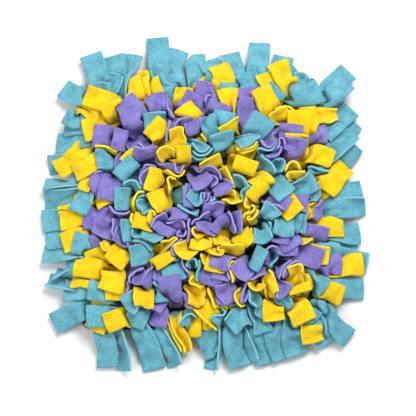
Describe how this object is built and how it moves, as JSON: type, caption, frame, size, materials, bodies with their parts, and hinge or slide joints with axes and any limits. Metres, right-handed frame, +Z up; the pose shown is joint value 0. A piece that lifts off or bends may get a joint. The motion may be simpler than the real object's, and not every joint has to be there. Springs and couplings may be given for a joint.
{
  "type": "snuffle mat",
  "caption": "Square pet foraging mat: fleece strips in three colours knotted in square rings to a rubber grid mat, their tails standing in the middle and splayed at the rim.",
  "frame": {"origin": "centre of the mat's underside, on the floor", "axes": "+Z up out of the pile; X and Y along the sides of the square, with -Y towards the viewer"},
  "size_m": [0.3742, 0.3749, 0.0621],
  "materials": {
    "rubber": "matt moulded rubber",
    "fleece_teal": "brushed polar fleece",
    "fleece_yellow": "brushed polar fleece",
    "fleece_purple": "brushed polar fleece"
  },
  "bodies": {
    "root": {"base_mat": "rubber", "purple_centre_strips_front": "fleece_purple", "purple_centre_strips_right": "fleece_purple", "purple_centre_strips_back": "fleece_purple", "purple_centre_strips_left": "fleece_purple", "yellow_inner_strips_front": "fleece_yellow", "yellow_inner_strips_right": "fleece_yellow", "yellow_inner_strips_back": "fleece_yellow", "yellow_inner_strips_left": "fleece_yellow", "teal_inner_strips_front": "fleece_teal", "teal_inner_strips_right": "fleece_teal", "teal_inner_strips_back": "fleece_teal", "teal_inner_strips_left": "fleece_teal", "purple_outer_strips_front": "fleece_purple", "purple_outer_strips_right": "fleece_purple", "purple_outer_strips_back": "fleece_purple", "purple_outer_strips_left": "fleece_purple", "yellow_outer_strips_front": "fleece_yellow", "yellow_outer_strips_right": "fleece_yellow", "yellow_outer_strips_back": "fleece_yellow", "yellow_outer_strips_left": "fleece_yellow", "teal_edge_strips_front": "fleece_teal", "teal_edge_strips_right": "fleece_teal", "teal_edge_strips_back": "fleece_teal", "teal_edge_strips_left": "fleece_teal"}
  },
  "joints": []
}
